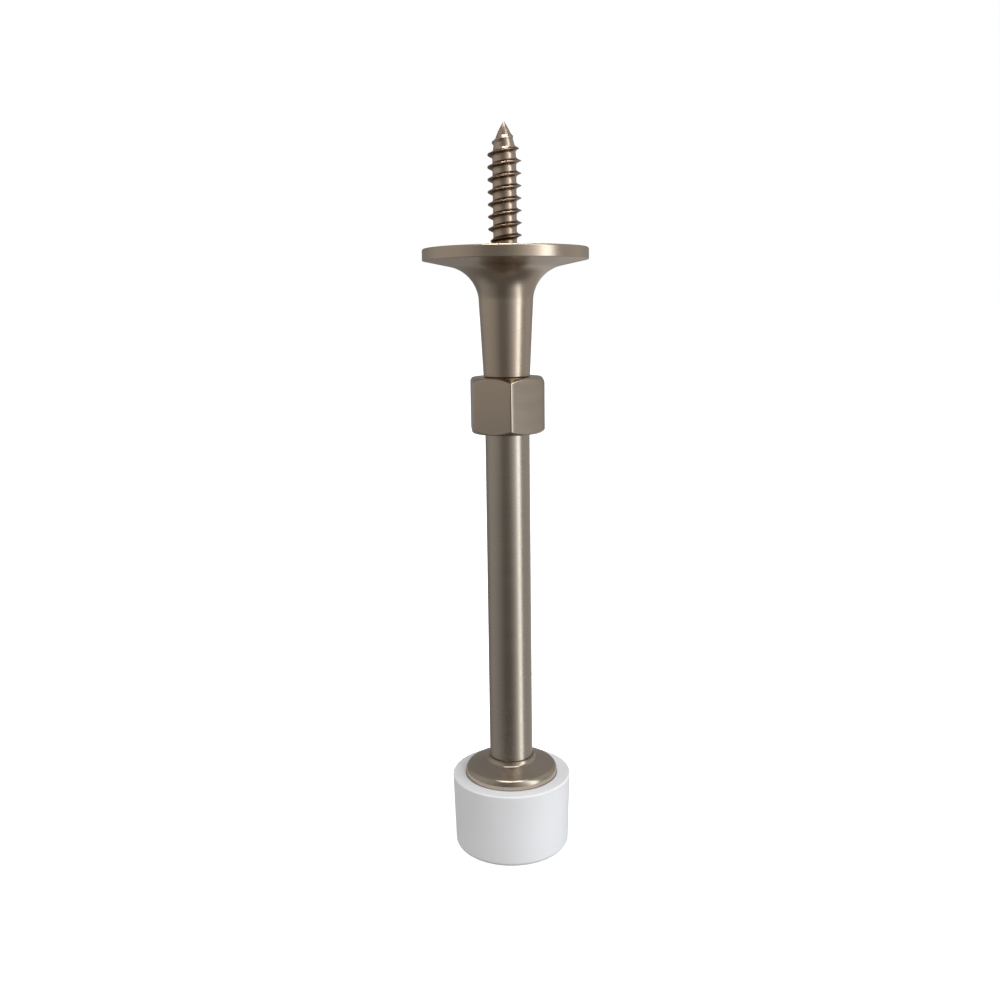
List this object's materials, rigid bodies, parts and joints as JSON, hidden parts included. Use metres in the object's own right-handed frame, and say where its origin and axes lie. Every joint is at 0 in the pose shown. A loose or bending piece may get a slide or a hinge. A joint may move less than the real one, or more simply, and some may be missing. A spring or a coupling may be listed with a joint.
{
  "type": "adjustable door stop",
  "caption": "Screw-in rigid door stop: wood screw, round flanged base, hexagon lock nut, rod that screws out to set its length, turned foot and white rubber tip.",
  "frame": {"origin": "centre of the flange's mounting face, on the axis of the wood screw", "axes": "+Z along the wood screw, out of the mounting face; the rod and the rubber tip point along -Z; -Y is the side seen in the picture"},
  "size_m": [0.0293, 0.0292, 0.1325],
  "materials": {
    "satin_nickel": "satin nickel plate over fine turning marks",
    "bolt_steel": "nickel-plated rolled thread, slightly bronze",
    "white_rubber": "matt off-white moulded rubber"
  },
  "bodies": {
    "wall_side": {"hanger_bolt": "bolt_steel", "base_flange": "satin_nickel", "adjusting_stud": "bolt_steel"},
    "bumper": {"rubber_tip": "white_rubber"},
    "rod": {"stop_rod": "satin_nickel", "rod_foot": "satin_nickel", "foot_screw": "bolt_steel"},
    "nut": {"lock_nut": "satin_nickel"}
  },
  "joints": [
    {"name": "length_adjust", "type": "slide", "parent": "wall_side", "child": "bumper", "axis": [0, 0, -1], "range_m": [0, 0.024]},
    {"name": "rod_turn", "type": "hinge", "parent": "bumper", "child": "rod", "pos_m": [0, 0, -0.0325], "axis": [0, 0, -1], "range_deg": [0, 10800]},
    {"name": "nut_turn", "type": "hinge", "parent": "rod", "child": "nut", "pos_m": [0, 0, -0.0275], "axis": [0, 0, 1], "range_deg": [0, 90]}
  ],
  "couplings": [
    {"joint": "rod_turn", "follows": "length_adjust", "rad_per_m": 7854}
  ]
}
